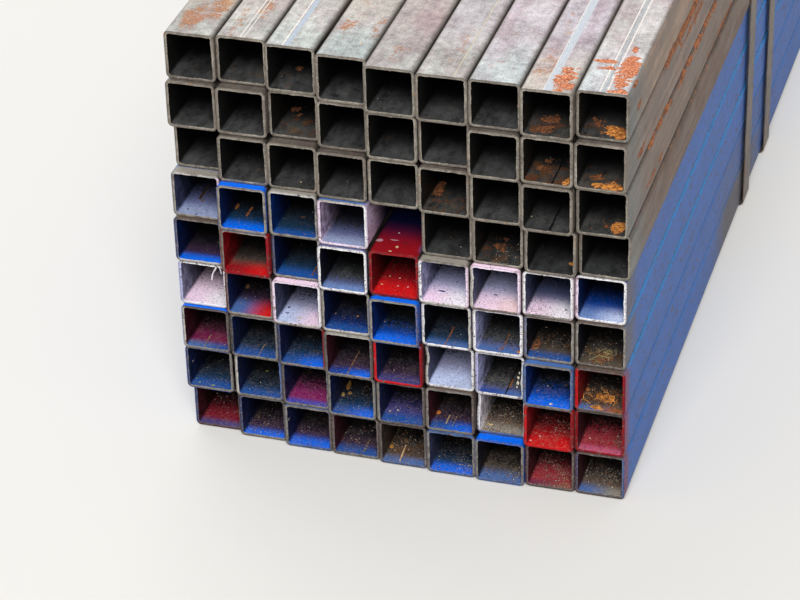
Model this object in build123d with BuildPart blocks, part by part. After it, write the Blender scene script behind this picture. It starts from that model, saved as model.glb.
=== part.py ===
from build123d import *
import os

# Stack of square welded steel tubes: nine layers of nine, tied with flat steel straps.
# X runs across the layers, +Y along the tubes away from the uneven front ends, +Z up.
# The origin is the centre of the bottom of the strapped stack, on the floor. Sizes are in mm.

# Tube
tube_width = 50.0
tube_wall = 3.0
tube_length = 6000.0
outer_radius = 5.0
inner_bevel = 1.5

# Stack, with the layer on top as layer 1 and the column on the left as column 1
layer_gap = 0.5
tuck = 0.3

# Distance of each tube's front end behind the common front line, by layer and column
end_setback = [
    [13, 17, 11, 3, -9, -12, -11, -17, -8],
    [9, 7, 14, 4, -5, -2, -16, -15, -14],
    [22, 4, 3, -3, -3, -7, -9, -16, -9],
    [12, -3, -1, -5, 120, 0, -3, -7, 0],
    [10, -1, 5, -7, -4, -7, -6, -4, 1],
    [12, 4, -1, -2, -10, -3, -2, -2, 0],
    [9, 6, 3, -3, -4, 2, 1, -8, -3],
    [13, 11, 8, 1, 0, 0, 8, -4, 0],
    [21, 14, 8, 6, 3, 0, -2, 1, 1],
]

# Start of each layer along X, and the daylight between its tubes from left to right
layer_start = [-1.0, -1.5, -0.9, -3.5, -3.6, -2.9, -1.9, -2.6, 1.0]
side_gaps = [
    [tuck, tuck, 2.5, tuck, 0.6, tuck, tuck, tuck],
    [0.9, tuck, 1.5, 0.8, tuck, 0.7, 0.5, tuck],
    [tuck, tuck, 0.7, 1.6, 0.4, 0.9, 0.4, 1.3],
    [1.7, 1.5, 0.8, 0.7, 1.8, tuck, 1.9, 1.0],
    [1.8, 0.7, tuck, 1.0, tuck, 0.7, 1.1, tuck],
    [1.2, 0.6, 0.5, 1.2, 0.8, 0.9, 0.6, tuck],
    [1.8, tuck, 0.4, 1.1, 0.8, 0.8, tuck, tuck],
    [3.1, tuck, tuck, 1.2, tuck, tuck, tuck, tuck],
    [tuck, tuck, tuck, 0.4, 0.4, tuck, 0.5, tuck],
]

# Straps and seals
strap_width = 32.0
strap_thickness = 0.9
strap_clearance = 0.3
strap_slack = 1.0
strap_inset = 609.0
strap_spacing = 126.0
strap_end_overlap = 110.0
strap_end_gap = 0.15
ramp_length = 55.0
ramp_radius = 600.0
seal_length = 57.0
seal_wall = 0.9
seal_clearance = 0.2
seal_place = 95.0
notch_size = 3.0
notch_pitch = 22.0

# Places that follow from the sizes above
layer_pitch = tube_width + layer_gap
layers = len(end_setback)
stack_floor = strap_thickness + strap_clearance
stack_top = stack_floor + layers * tube_width + (layers - 1) * layer_gap


def tube_lefts(layer):
    """Left side of each tube of a layer, before the stack is centred."""
    lefts = [layer_start[layer]]
    for gap in side_gaps[layer]:
        lefts.append(lefts[-1] + tube_width + gap)
    return lefts


stack_left = min(tube_lefts(layer)[0] for layer in range(layers))
stack_right = max(tube_lefts(layer)[-1] for layer in range(layers)) + tube_width
front_end = min(min(row) for row in end_setback)
rear_end = tube_length + max(max(row) for row in end_setback)
centre_x = (stack_left + stack_right) / 2
centre_y = (front_end + rear_end) / 2
half_stack = (stack_right - stack_left) / 2

os.makedirs("parts", exist_ok=True)


def write(name, part):
    part.label = name
    export_step(part, f"parts/{name}.step")


# Section of one tube, centred
with BuildSketch() as bore:
    Rectangle(tube_width - 2 * tube_wall, tube_width - 2 * tube_wall)
    chamfer(bore.vertices(), inner_bevel)
with BuildSketch() as section:
    RectangleRounded(tube_width, tube_width, outer_radius)
    add(bore.sketch, mode=Mode.SUBTRACT)

# Layers of tubes, each tube pushed in or out by its own setback
for layer in range(layers):
    centre_z = stack_top - tube_width / 2 - layer * layer_pitch
    with BuildPart() as tubes:
        for column, left in enumerate(tube_lefts(layer)):
            front_y = end_setback[layer][column] - centre_y
            with BuildSketch(Plane.XZ.offset(-front_y)):
                with Locations((left + tube_width / 2 - centre_x, centre_z)):
                    add(section.sketch)
            extrude(amount=-tube_length)
    write(f"tube_layer_{layer + 1}", tubes.part)

# Centre line of a strap: from its lower end on top, clockwise round the stack to the end that laps over it
seal_x = half_stack - seal_place
lower_level = stack_top + seal_wall + 2 * seal_clearance + strap_thickness / 2
upper_level = lower_level + strap_thickness + strap_end_gap
under_level = strap_thickness / 2
side_line = half_stack + strap_slack + strap_thickness / 2
lap_start = seal_x - strap_end_overlap / 2
lap_end = seal_x + strap_end_overlap / 2
corner_radius = outer_radius + strap_slack + strap_thickness / 2
route_points = [
    (lap_start, lower_level),
    (side_line, lower_level),
    (side_line, under_level),
    (-side_line, under_level),
    (-side_line, lower_level),
    (lap_start - ramp_length, lower_level),
    (lap_start - strap_thickness, upper_level),
    (lap_end, upper_level),
]
route_radii = [corner_radius] * 4 + [ramp_radius] * 2

# Straps in pairs near both ends and at the middle, each closed by a notched seal round its lapped ends
pair_starts = [strap_inset, (tube_length - strap_spacing) / 2, tube_length - strap_inset - strap_spacing]
strap_centres = [start + step - centre_y for start in pair_starts for step in (0, strap_spacing)]
cavity_height = 2 * strap_thickness + strap_end_gap + 2 * seal_clearance
cavity_width = strap_width + 2 * seal_clearance
seal_middle = (lower_level + upper_level) / 2

for number, strap_y in enumerate(strap_centres, start=1):
    with BuildPart() as strap:
        with BuildLine(Plane.XZ.offset(-strap_y)) as route:
            FilletPolyline(*route_points, radius=route_radii)
        with BuildSketch(Plane(origin=route.line @ 0, z_dir=route.line % 0)):
            Rectangle(strap_thickness, strap_width)
        sweep()
    write(f"strap_{number}", strap.part)

    with BuildPart() as seal:
        with BuildSketch(Plane.YZ.offset(seal_x - seal_length / 2)):
            with Locations((strap_y, seal_middle)):
                Rectangle(cavity_width + 2 * seal_wall, cavity_height + 2 * seal_wall)
                Rectangle(cavity_width, cavity_height, mode=Mode.SUBTRACT)
        extrude(amount=seal_length)
        # Two notches bitten down into each long edge
        with BuildSketch(Plane.XY.offset(seal_middle)):
            with Locations((seal_x, strap_y)):
                with GridLocations(notch_pitch, cavity_width + 2 * seal_wall, 2, 2):
                    RegularPolygon(notch_size, 4)
        extrude(amount=cavity_height / 2 + seal_wall, mode=Mode.SUBTRACT)
    write(f"strap_seal_{number}", seal.part)
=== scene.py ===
import math
import random

import bpy
import numpy as np
from mathutils import Matrix, Vector, noise


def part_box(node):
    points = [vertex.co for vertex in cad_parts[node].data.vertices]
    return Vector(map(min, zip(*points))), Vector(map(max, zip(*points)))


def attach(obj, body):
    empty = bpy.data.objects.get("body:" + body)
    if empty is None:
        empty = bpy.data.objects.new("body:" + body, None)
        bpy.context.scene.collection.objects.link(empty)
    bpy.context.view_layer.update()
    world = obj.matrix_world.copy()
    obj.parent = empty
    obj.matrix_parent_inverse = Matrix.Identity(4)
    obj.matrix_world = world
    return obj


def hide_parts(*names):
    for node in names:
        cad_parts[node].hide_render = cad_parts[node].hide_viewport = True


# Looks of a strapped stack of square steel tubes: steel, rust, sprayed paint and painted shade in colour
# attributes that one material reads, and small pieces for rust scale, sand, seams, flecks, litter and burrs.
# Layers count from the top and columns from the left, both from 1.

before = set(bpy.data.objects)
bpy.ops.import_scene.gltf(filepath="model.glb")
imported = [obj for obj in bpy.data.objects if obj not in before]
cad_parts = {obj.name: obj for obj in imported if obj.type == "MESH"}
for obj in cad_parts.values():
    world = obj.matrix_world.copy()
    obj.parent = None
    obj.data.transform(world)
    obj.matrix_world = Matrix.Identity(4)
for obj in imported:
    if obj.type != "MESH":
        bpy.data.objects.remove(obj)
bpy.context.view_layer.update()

MM = 0.001
LAYERS = 9
COLUMNS = 9

# Camera, solved from the photograph
CAMERA_PLACE = Vector((0.7291, -5.3778, 1.7251))
CAMERA_AZIMUTH = 17.33
CAMERA_TILT = 32.06
CAMERA_ROLL = -1.64
CAMERA_LENS = 134.09
SENSOR = 36.0
PICTURE = (800, 600)

# Tube section, in mm
OUTER_RADIUS = 5.0
INNER_RADIUS = 2.4
TUBE_WALL = 3.0
EDGE_BREAK = 0.3
ARC_STEPS = 5
FLAT_STEPS = 8

# Distances of the rings of points from a tube's two ends, in mm
OUTER_FRONT = [
    0.3, 1.5, 4, 8, 13, 19, 26, 35, 46, 60, 78, 100, 130, 170, 230, 320, 430, 500, 570, 640, 720, 1000,
    1800,
]
INNER_FRONT = [
    0.3, 1.5, 4, 7, 11, 15, 20, 26, 33, 41, 50, 60, 72, 88, 110, 150, 250, 600,
]
BACK = [0.3, 5, 40, 200]


def linear(red, green, blue):
    """Linear colour of an sRGB colour given as 0 to 255."""
    parts = (c / 255 for c in (red, green, blue))
    return tuple(c / 12.92 if c <= 0.04 else ((c + 0.055) / 1.055) ** 2.4 for c in parts)


PAINTS = {name: linear(*colour) for name, colour in {
    "blue": (0, 110, 246), "deep": (2, 66, 158), "navy": (6, 42, 108), "ink": (14, 18, 44),
    "teal": (18, 54, 84), "azure": (116, 146, 206), "ice": (204, 218, 255), "mist": (150, 162, 196),
    "denim": (28, 84, 162), "iris": (70, 66, 130), "haze": (74, 112, 176), "lilac": (186, 188, 228),
    "slate": (94, 102, 144), "white": (255, 248, 255), "blush": (255, 224, 246), "pink": (255, 220, 224),
    "red": (218, 20, 26), "crimson": (146, 14, 26), "maroon": (84, 14, 38), "wine": (122, 18, 40),
    "dusk": (58, 38, 66), "orchid": (206, 184, 214), "plum": (116, 28, 72), "magenta": (138, 36, 100),
    "violet": (66, 74, 186), "purple": (62, 40, 98), "grey": (150, 144, 134), "pale": (200, 196, 190),
    "brown": (98, 82, 72), "rose": (200, 90, 126), "cherry": (158, 42, 56), "clay": (150, 82, 72),
    "rust": (160, 88, 42), "soil": (84, 76, 66), "bare": (120, 114, 106),
}.items()}

# Paint on the mouths by layer and column: rim on the left, top, right and bottom, outer edge, left wall,
# floor at the lip on the left and right, floor further in, and how far the floor's paint reaches in mm
SPRAYED = {
    (4, 1): ("grey pale blush grey grey slate mist mist slate", 50),
    (4, 2): ("grey grey grey grey blue navy blue blue teal", 34),
    (4, 3): ("grey pale grey grey grey deep denim denim teal", 26),
    (4, 4): ("blush pale white blush haze orchid mist mist slate", 36),
    (5, 1): ("navy brown brown pale brown navy blue blue dusk", 30),
    (5, 2): ("brown grey crimson crimson red crimson crimson red brown", 28),
    (5, 3): ("navy brown pale grey navy navy denim denim teal", 30),
    (5, 4): ("white white white white slate ink azure azure slate", 22),
    (5, 5): ("crimson crimson crimson crimson crimson crimson red red crimson", 62),
    (5, 6): ("white grey blush pale grey lilac blush white lilac", 72),
    (5, 7): ("pale blush blush brown blush slate blush pink lilac", 78),
    (5, 8): ("white white white grey blush slate blush white slate", 68),
    (5, 9): ("blush white white white haze navy azure ice deep", 48),
    (6, 1): ("lilac white white white white lilac blush white blush", 66),
    (6, 2): ("maroon brown brown grey crimson navy haze red dusk", 42),
    (6, 3): ("blush blush white pale blush slate ice blush lilac", 58),
    (6, 4): ("grey grey grey pale grey navy denim denim navy", 28),
    (6, 5): ("grey grey deep grey blue deep blue blue deep", 32),
    (6, 6): ("white white pale white slate ink haze haze teal", 26),
    (6, 7): ("white white white white white lilac haze haze slate", 20),
    (6, 8): ("slate brown grey grey brown ink denim denim soil", 24),
    (6, 9): ("grey brown grey brown brown ink soil soil soil", 16),
    (7, 1): ("pale brown brown grey blue maroon haze denim plum", 40),
    (7, 2): ("ink grey grey grey grey navy denim denim teal", 26),
    (7, 3): ("navy brown crimson grey deep navy denim blue teal", 40),
    (7, 4): ("brown pale brown grey grey maroon deep blue dusk", 30),
    (7, 5): ("red haze crimson red crimson navy iris iris dusk", 28),
    (7, 6): ("pale pale white white grey slate ice ice lilac", 76),
    (7, 7): ("lilac white white white white lilac deep haze slate", 16),
    (7, 8): ("haze grey haze grey haze deep blue blue deep", 38),
    (7, 9): ("red brown crimson brown brown crimson haze rust brown", 14),
    (8, 1): ("navy grey grey grey blue navy denim denim teal", 34),
    (8, 2): ("pale grey haze grey brown navy denim denim teal", 26),
    (8, 3): ("brown brown grey grey brown navy violet violet magenta", 40),
    (8, 4): ("grey grey grey grey haze navy denim blue teal", 34),
    (8, 5): ("grey brown brown brown brown navy denim denim iris", 42),
    (8, 6): ("grey grey brown grey brown maroon denim blue dusk", 34),
    (8, 7): ("white pale white haze brown white grey grey brown", 32),
    (8, 8): ("red grey crimson red red crimson red red crimson", 50),
    (8, 9): ("crimson brown crimson crimson crimson maroon rose rose cherry", 48),
    (9, 1): ("navy maroon brown maroon maroon maroon iris iris wine", 44),
    (9, 2): ("navy grey brown grey brown navy blue blue dusk", 30),
    (9, 3): ("grey grey brown haze haze navy blue blue dusk", 34),
    (9, 4): ("brown brown brown grey brown maroon denim denim dusk", 30),
    (9, 5): ("brown brown brown haze brown brown haze haze brown", 20),
    (9, 6): ("grey haze grey haze haze slate blue blue teal", 30),
    (9, 7): ("grey blue grey haze blue ink haze haze soil", 32),
    (9, 8): ("maroon maroon brown brown maroon maroon plum clay cherry", 44),
    (9, 9): ("purple brown haze brown brown maroon haze grey brown", 28),
}

# Length of the paint's bright lip on the floor in mm, where it is not three tenths of the reach and 3 mm more
LIPS = {
    (4, 3): 9, (5, 1): 10, (5, 2): 18, (5, 3): 14, (5, 6): 26, (6, 1): 30, (6, 2): 22, (6, 3): 26,
    (6, 6): 9, (7, 1): 9, (7, 2): 12, (7, 4): 10, (7, 6): 26, (8, 3): 7, (8, 5): 14, (8, 6): 12,
    (8, 9): 8, (9, 1): 8, (9, 2): 10, (9, 3): 13, (9, 4): 12, (9, 7): 14, (9, 8): 7,
}

# Bare steel of the top layer, left to right: near the front end and further back
TOPS = [
    ((186, 186, 180), (196, 180, 164)), ((192, 192, 186), (188, 174, 170)),
    ((200, 204, 200), (190, 184, 178)), ((184, 192, 190), (192, 184, 176)),
    ((180, 178, 174), (186, 174, 170)), ((188, 188, 182), (190, 184, 186)),
    ((196, 202, 202), (198, 190, 194)), ((200, 196, 186), (194, 186, 192)),
    ((214, 220, 220), (202, 198, 196)),
]

# Bare steel of the sides, from the top layer down to layer 4 and those below it
SIDES = [(162, 138, 120), (148, 127, 116), (141, 120, 106), (116, 91, 75)]

# Rust inside bare tubes, from 0 to 1
INNER_RUST = {
    (1, 2): 0.25, (1, 3): 0.25, (1, 8): 0.4, (1, 9): 0.4, (2, 3): 0.42, (2, 8): 0.56, (2, 9): 0.38,
    (3, 6): 0.42, (3, 9): 0.3, (4, 7): 0.44, (4, 9): 0.15, (6, 8): 0.5, (6, 9): 0.45, (7, 9): 0.5,
    (7, 4): 0.35, (8, 6): 0.35, (9, 4): 0.4, (9, 5): 0.55, (9, 8): 0.35, (9, 9): 0.4, (8, 7): 0.35,
}

# Tubes whose left wall's paint gets less painted shade than the others'
WALL_LIGHT = {
    (4, 4): 0.85, (6, 7): 0.95, (7, 7): 1.0, (8, 7): 1.0, (5, 2): 0.9, (5, 6): 0.75, (8, 8): 0.9,
    (7, 9): 0.8,
}

# Rust patches on the top layer: pixel in the photograph, reach along and across the tube in mm, strength
TOP_RUST = [
    (192, 17, 36, 16, 0.66), (222, 6, 40, 14, 0.58), (240, 22, 44, 8, 0.5), (270, 6, 50, 10, 0.55),
    (300, 22, 70, 7, 0.47), (352, 22, 50, 12, 0.46), (378, 30, 40, 10, 0.46), (395, 55, 30, 14, 0.36),
    (450, 58, 26, 16, 0.34), (462, 45, 50, 6, 0.4), (500, 58, 26, 12, 0.34), (548, 60, 60, 10, 0.4),
    (568, 30, 80, 10, 0.34), (536, 72, 26, 6, 0.5), (557, 62, 34, 4, 0.46), (544, 40, 60, 5, 0.34),
    (610, 40, 70, 12, 0.24), (560, 10, 60, 12, 0.3),
]


def smooth(low, high, value):
    t = np.clip((value - low) / (high - low), 0.0, 1.0)
    return t * t * (3 - 2 * t)


def blend(first, second, share):
    return np.asarray(first) * (1 - share)[:, None] + np.asarray(second) * share[:, None]


def turned_axes():
    """Right, up and forward directions of the camera."""
    azimuth, tilt, roll = (math.radians(a) for a in (CAMERA_AZIMUTH, CAMERA_TILT, CAMERA_ROLL))
    level = Vector((math.cos(azimuth), math.sin(azimuth), 0.0))
    ahead = Vector((-math.sin(azimuth), math.cos(azimuth), 0.0))
    forward = ahead * math.cos(tilt) - Vector((0.0, 0.0, math.sin(tilt)))
    right = level * math.cos(roll) + level.cross(forward) * math.sin(roll)
    return right, right.cross(forward), forward


def seen_on(px, py, axis, value):
    """Point that a pixel of the photograph shows, on the plane where one coordinate has the given value."""
    right, up, forward = turned_axes()
    scale = SENSOR / CAMERA_LENS / PICTURE[0]
    way = forward + right * ((px - PICTURE[0] / 2) * scale) + up * ((PICTURE[1] / 2 - py) * scale)
    return CAMERA_PLACE + way * ((value - CAMERA_PLACE[axis]) / way[axis])


def tube_boxes(node):
    """Lowest and highest corners of each tube of a layer, in metres, from left to right."""
    low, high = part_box(node)
    width = high.z - low.z
    points = sorted(tuple(v.co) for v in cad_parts[node].data.vertices)
    boxes = []
    while points:
        left = points[0][0]
        own = [p for p in points if p[0] < left + width + 0.0001]
        points = points[len(own):]
        boxes.append((np.min(own, axis=0), np.max(own, axis=0)))
    return boxes


BOXES = {(layer, column): box for layer in range(1, LAYERS + 1)
         for column, box in enumerate(tube_boxes(f"tube_layer_{layer}"), start=1)}
LENGTH = float(BOXES[1, 1][1][1] - BOXES[1, 1][0][1]) / MM
HALF = float(BOXES[1, 1][1][0] - BOXES[1, 1][0][0]) / MM / 2


def rounded_square(half, radius):
    """Points of a rounded square in mm, as (x, z), and their outward directions."""
    places, normals = [], []
    flat = half - radius
    for quarter, (sx, sz) in enumerate([(1, 1), (-1, 1), (-1, -1), (1, -1)]):
        for step in range(ARC_STEPS + 1):
            angle = math.radians(90 * (quarter + step / ARC_STEPS))
            places.append((sx * flat + radius * math.cos(angle), sz * flat + radius * math.sin(angle)))
            normals.append((math.cos(angle), math.sin(angle)))
        corner = places[-1]
        nx, nz = normals[-1]
        for step in range(1, FLAT_STEPS):
            run = 2 * flat * step / FLAT_STEPS
            places.append((corner[0] - nz * run, corner[1] + nx * run))
            normals.append((nx, nz))
    return np.array(places), np.array(normals)


def tube_template():
    """Points in mm from the middle of the front end, outward directions, faces and their kinds for one tube.

    Kind 0 is the outside, 1 the inside, 2 the front rim and 3 the back rim.
    """
    rows, ways, faces, kinds, starts = [], [], [], [], []
    for half, radius, front, sign in (
        (HALF, OUTER_RADIUS, OUTER_FRONT, -1),
        (HALF - TUBE_WALL, INNER_RADIUS, INNER_FRONT, 1),
    ):
        places, normals = rounded_square(half, radius)
        depths = [0.0] + front + [LENGTH - d for d in reversed(BACK)] + [LENGTH]
        starts.append(len(rows))
        for depth in depths:
            ring = places + normals * (sign * EDGE_BREAK if depth in (0.0, LENGTH) else 0.0)
            rows.append(np.column_stack([ring[:, 0], np.full(len(ring), depth), ring[:, 1]]))
            ways.append(normals)
    count = len(rows[0])
    around = np.arange(count)
    after = (around + 1) % count

    def strip(first, second, kind):
        faces.append(np.column_stack([first * count + around, first * count + after,
                                      second * count + after, second * count + around]))
        kinds.append(np.full(count, kind))

    inner = starts[1]
    for row in range(inner - 1):
        strip(row + 1, row, 0)
    for row in range(inner, len(rows) - 1):
        strip(row, row + 1, 1)
    strip(0, inner, 2)
    strip(len(rows) - 1, inner - 1, 3)
    return *(np.concatenate(parts) for parts in (rows, ways, faces, kinds)), inner * count


POINTS, WAYS, QUADS, KINDS, FIRST_INNER = tube_template()
ACROSS, DEPTH = POINTS[:, 0], POINTS[:, 1]
TO_LEFT, TO_RIGHT = np.clip(-WAYS[:, 0], 0, 1) ** 2, np.clip(WAYS[:, 0], 0, 1) ** 2
TO_TOP, TO_BOTTOM = np.clip(WAYS[:, 1], 0, 1) ** 2, np.clip(-WAYS[:, 1], 0, 1) ** 2
CORNER = 4 * (TO_LEFT + TO_RIGHT) * (TO_TOP + TO_BOTTOM)


def unshaded_share(layer, column):
    """Share of each outside point that no neighbouring tube hides; the rest gets painted shade."""
    low, high = BOXES[layer, column]
    share = np.zeros(len(DEPTH))
    for weight, beside in ((TO_LEFT, (layer, column - 1)), (TO_RIGHT, (layer, column + 1)),
                           (TO_TOP, (layer - 1, column)), (TO_BOTTOM, (layer + 1, column))):
        if beside not in BOXES:
            share = np.maximum(share, np.sqrt(weight))
            continue
        other_low, other_high = BOXES[beside]
        ahead = (other_low[1] - low[1]) / MM
        behind = (other_high[1] - low[1]) / MM
        hidden = smooth(ahead - 0.5, ahead + 3, DEPTH) * (1 - smooth(behind - 3, behind + 0.5, DEPTH))
        share = np.maximum(share, np.sqrt(weight) * (1 - hidden))
    return share


# Bare steel in places, and the blue that was sprayed over the sides
PLAIN_STEEL = linear(118, 110, 102)
FAR_TOP = linear(174, 172, 170)
NEAR_SIDE, FAR_SIDE = linear(130, 131, 128), linear(116, 113, 110)
# Steel inside the tubes holds painted shade: lighter on the floor by the mouth, darker on the walls, near
# black deeper in
BARE_MOUTH, DIM_MOUTH, COATED_MOUTH = linear(64, 65, 64), linear(54, 55, 55), linear(54, 58, 62)
SHADED_WALL_STEEL, SHADED_DEEP_WALL, SHADED_DEEP_FLOOR = linear(17, 16, 15), linear(7, 7, 7), linear(8, 8, 8)
RIM_STEEL, SILVERY, DULL_SILVER = linear(158, 151, 140), linear(158, 156, 154), linear(120, 124, 134)
SIDE_BLUE, EDGE_BLUE, RECESS_SHADE_BLUE = linear(72, 114, 190), linear(52, 158, 224), linear(10, 18, 58)

# Paint that darkens with depth into a very dark blue where a neighbour stands back, the blue paint beneath
# with painted
# shade of the recess: tube, sides, paint, start and end in mm
RECESS_SHADED_PAINT = [((5, 5), TO_TOP + TO_LEFT, "crimson", 12, 60), ((4, 4), TO_RIGHT + TO_BOTTOM, "orchid", 8, 66)]

# Mud, wear and overspray on the blue side: layers, colour, share, and start and end of its two fades in mm
SIDE_WEAR = [
    ((8,), (100, 94, 88), 0.35, 400, 500, 640, 760), ((9,), (100, 94, 88), 0.9, 400, 500, 640, 760),
    ((5, 6), (112, 104, 96), 0.75, -2, -1, 12, 60), ((7, 8, 9), (150, 60, 66), 0.7, -2, -1, 6, 24),
]

# Paints whose floors darken more with painted shade further in and keep more of their paint instead of baring
# the steel
PALE_FLOORS = ("white", "blush", "pink", "lilac", "ice", "mist")

# Paints that cover a rim fully; the others are worn through to silvery steel at the inner edge
BRIGHT_RIMS = ("white", "blush", "red", "pale", "lilac", "crimson")

# Unevenness of the sawn edges in mm, inwards and along the tube
RAGGED, SAWN = 0.7, 0.5

# Dented walls by tube: side, height from the middle and depth in mm
DENTS = {
    (7, 6): ("left", 8, 2.0), (7, 7): ("right", -6, 1.2), (5, 7): ("left", 10, 1.0),
    (8, 7): ("left", 14, 1.5),
}


def with_alpha(colours, alpha):
    return np.column_stack([colours, alpha])


BACK_RIM = (with_alpha(np.tile(linear(134, 126, 116), (len(DEPTH), 1)), np.full(len(DEPTH), 0.3)),
            np.zeros((len(DEPTH), 4)))


def sprayed(layer, column):
    """The words for a mouth's paint, and how far it reaches in mm."""
    text, reach = SPRAYED.get((layer, column), ("bare " * 9, 40))
    return text.split(), reach


def placed(name, data):
    """A new object of the scene."""
    piece = bpy.data.objects.new(name, data)
    bpy.context.scene.collection.objects.link(piece)
    return piece


def outside_finish(layer, column, words):
    """Steel with its rust, and paint with its cover, on the outside of a tube, with painted shade where
    neighbouring tubes hide it and on the sides that face them.
    """
    low, high = BOXES[layer, column]
    unshaded = unshaded_share(layer, column)
    flank = TO_RIGHT if column == COLUMNS else TO_LEFT if column == 1 else np.zeros(len(DEPTH))
    steel = PLAIN_STEEL
    rust = np.full(len(DEPTH), 0.12)
    if layer == 1:
        near, far = TOPS[column - 1]
        top = blend(linear(*near), linear(*far), smooth(20, 110, DEPTH))
        top = blend(top, FAR_TOP, smooth(500, 1100, DEPTH))
        steel = blend(steel, top * 0.84, TO_TOP)
        x, y = POINTS[:, 0] * MM + (low[0] + high[0]) / 2, DEPTH * MM + low[1]
        for px, py, along, across, strength in TOP_RUST:
            spot = seen_on(px, py, 2, high[2])
            away = np.hypot((x - spot.x) / (across * MM), (y - spot.y) / (along * MM))
            rust = np.maximum(rust, strength * TO_TOP * (1 - smooth(0.3, 1.3, away)))
    side = blend(NEAR_SIDE, linear(*SIDES[min(layer, 4) - 1]), smooth(15, 90, DEPTH))
    side = blend(side, FAR_SIDE, smooth(800, 1800, DEPTH))
    # Painted shade: steel that neighbouring tubes hide is darkened down to a tenth
    steel = blend(steel, side * 0.85, flank) * (0.1 + 0.9 * unshaded)[:, None]
    if (layer, column) not in SPRAYED:
        rust = np.maximum(rust, flank * 0.2 + CORNER * (flank > 0) * 0.16)
    edge = np.clip(CORNER, 0, 1) * (0.7 if layer < 8 else 0.2) * (1 - 0.7 * smooth(700, 1500, DEPTH))
    paint = blend(SIDE_BLUE, EDGE_BLUE, edge)
    if words[4] != "bare":
        paint = blend(paint, PAINTS[words[4]], (1 - smooth(7, 16, DEPTH)) * (1 - 0.75 * flank))
    # Painted shade: paint on the underside and on the sides that face neighbours is darkened by up to two
    # thirds
    paint = paint * (1 - 0.65 * (1 - TO_TOP) * (1 - flank))[:, None]
    # Painted shade in the recess where a neighbour stands back
    for tube, side, word, start, end in RECESS_SHADED_PAINT:
        if tube == (layer, column):
            paint = blend(paint, blend(PAINTS[word], RECESS_SHADE_BLUE, smooth(start, end, DEPTH)), side)
    if column == COLUMNS:
        for layers, colour, strength, start, full, fading, end in SIDE_WEAR:
            if layer in layers:
                worn = flank * smooth(start, full, DEPTH) * (1 - smooth(fading, end, DEPTH)) * strength
                paint = blend(paint, linear(*colour), worn)
    # Paint covers only what no neighbour hides, so the painted shade in the gaps stays
    return with_alpha(steel, rust), with_alpha(paint, unshaded * ((layer, column) in SPRAYED))


def inside_finish(layer, column, words, reach):
    """Steel with its rust, and paint with its cover, on the inside of a tube, both darkened deeper in with
    painted shade.
    """
    # Painted shade: the steel darkens from the mouth towards near black deeper in, the walls darker than the
    # floor
    deep = smooth(4, 62, np.minimum(DEPTH, LENGTH - DEPTH))
    inner = np.array(PAINTS[words[8]])
    mouth = BARE_MOUTH if layer < 4 else DIM_MOUTH
    if (layer, column) in SPRAYED:
        mouth = 0.5 * np.array(COATED_MOUTH) + 0.45 * np.minimum(inner, 0.12)
    steel = blend(blend(SHADED_WALL_STEEL, SHADED_DEEP_WALL, deep), blend(mouth, SHADED_DEEP_FLOOR, deep), TO_BOTTOM)
    rust = INNER_RUST.get((layer, column), 0.14) * (TO_BOTTOM + 0.35 * (1 - TO_BOTTOM))
    rust = rust * (1 - smooth(18, 72, DEPTH))

    lip = blend(PAINTS[words[6]], PAINTS[words[7]], smooth(-14, 14, ACROSS))
    edge = LIPS.get((layer, column), 0.3 * reach + 3)
    pale = words[7] in PALE_FLOORS
    floor = blend(lip, inner, smooth(0.4 * edge, 1.7 * edge, DEPTH))
    # Painted shade: the floor's paint darkens deeper in, more for pale paints
    floor = floor * (1 - (0.9 if pale else 0.62) * smooth(0.3 * reach, 1.4 * reach, DEPTH))[:, None]
    # Painted shade: the left wall's paint is darkened, and more so deeper in
    wall_light = WALL_LIGHT.get((layer, column), 0.42) * (1 - 0.7 * smooth(2, 50, DEPTH))
    wall = np.outer(wall_light, PAINTS[words[5]])
    floor_cover = 1 - (0.55 if pale else 0.9) * smooth(0.35 * reach, 1.5 * reach, DEPTH)
    cover = (1 - smooth(38, 78, DEPTH)) * (1 - TO_BOTTOM) + floor_cover * TO_BOTTOM
    return with_alpha(steel, rust), with_alpha(blend(wall, floor, TO_BOTTOM), cover * (words[6] != "bare"))


def rim_finish(layer, words):
    """Steel and paint on the front rim, worn through at the inner edge where the paint is thin, with a
    painted highlight along the inner edge and painted shade with dirt towards the outer edge.
    """
    inner = np.arange(len(DEPTH)) >= FIRST_INNER
    weights = np.column_stack([TO_LEFT, TO_TOP, TO_RIGHT, TO_BOTTOM])
    sides = weights @ np.array([PAINTS[word] for word in words[:4]])
    dulled = weights @ np.array([float(word not in BRIGHT_RIMS) for word in words[:4]])
    # Painted highlight and shade: the inner edge is brightened, and the outer edge darkened to a half as
    # shade and dirt
    shade = np.where(inner, 1.15, 0.5)[:, None]
    sides = blend(sides, SILVERY if layer < 7 else DULL_SILVER, 0.4 * dulled * inner)
    sides = np.minimum(sides * shade, 1.0) * (1.0 if layer < 7 else 0.85)
    return (with_alpha(np.array(RIM_STEEL) * shade, np.full(len(DEPTH), 0.22)),
            with_alpha(sides, (1.0 - 0.2 * dulled) * (words[0] != "bare")))


def tube_shape(layer, column):
    """The tube's own points: uneven sawn edges, and a dented wall where the photograph shows one."""
    rng = np.random.default_rng(layer * 100 + column)
    points = POINTS.copy()
    count = 4 * (ARC_STEPS + FLAT_STEPS)
    ragged = rng.random(count) ** 3 * RAGGED
    first = slice(FIRST_INNER, FIRST_INNER + count)
    points[first, 0] -= WAYS[first, 0] * ragged
    points[first, 2] -= WAYS[first, 1] * ragged
    saw = rng.random(count) * SAWN
    points[:count, 1] += saw
    points[first, 1] += saw
    if (layer, column) in DENTS:
        side, place, depth = DENTS[layer, column]
        weight, way = (TO_LEFT, 1) if side == "left" else (TO_RIGHT, -1)
        bump = np.exp(-((points[:, 2] - place) / 9) ** 2) * (1 - smooth(2, 24, DEPTH)) * weight
        points[:, 0] += way * depth * bump
    return points


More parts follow.
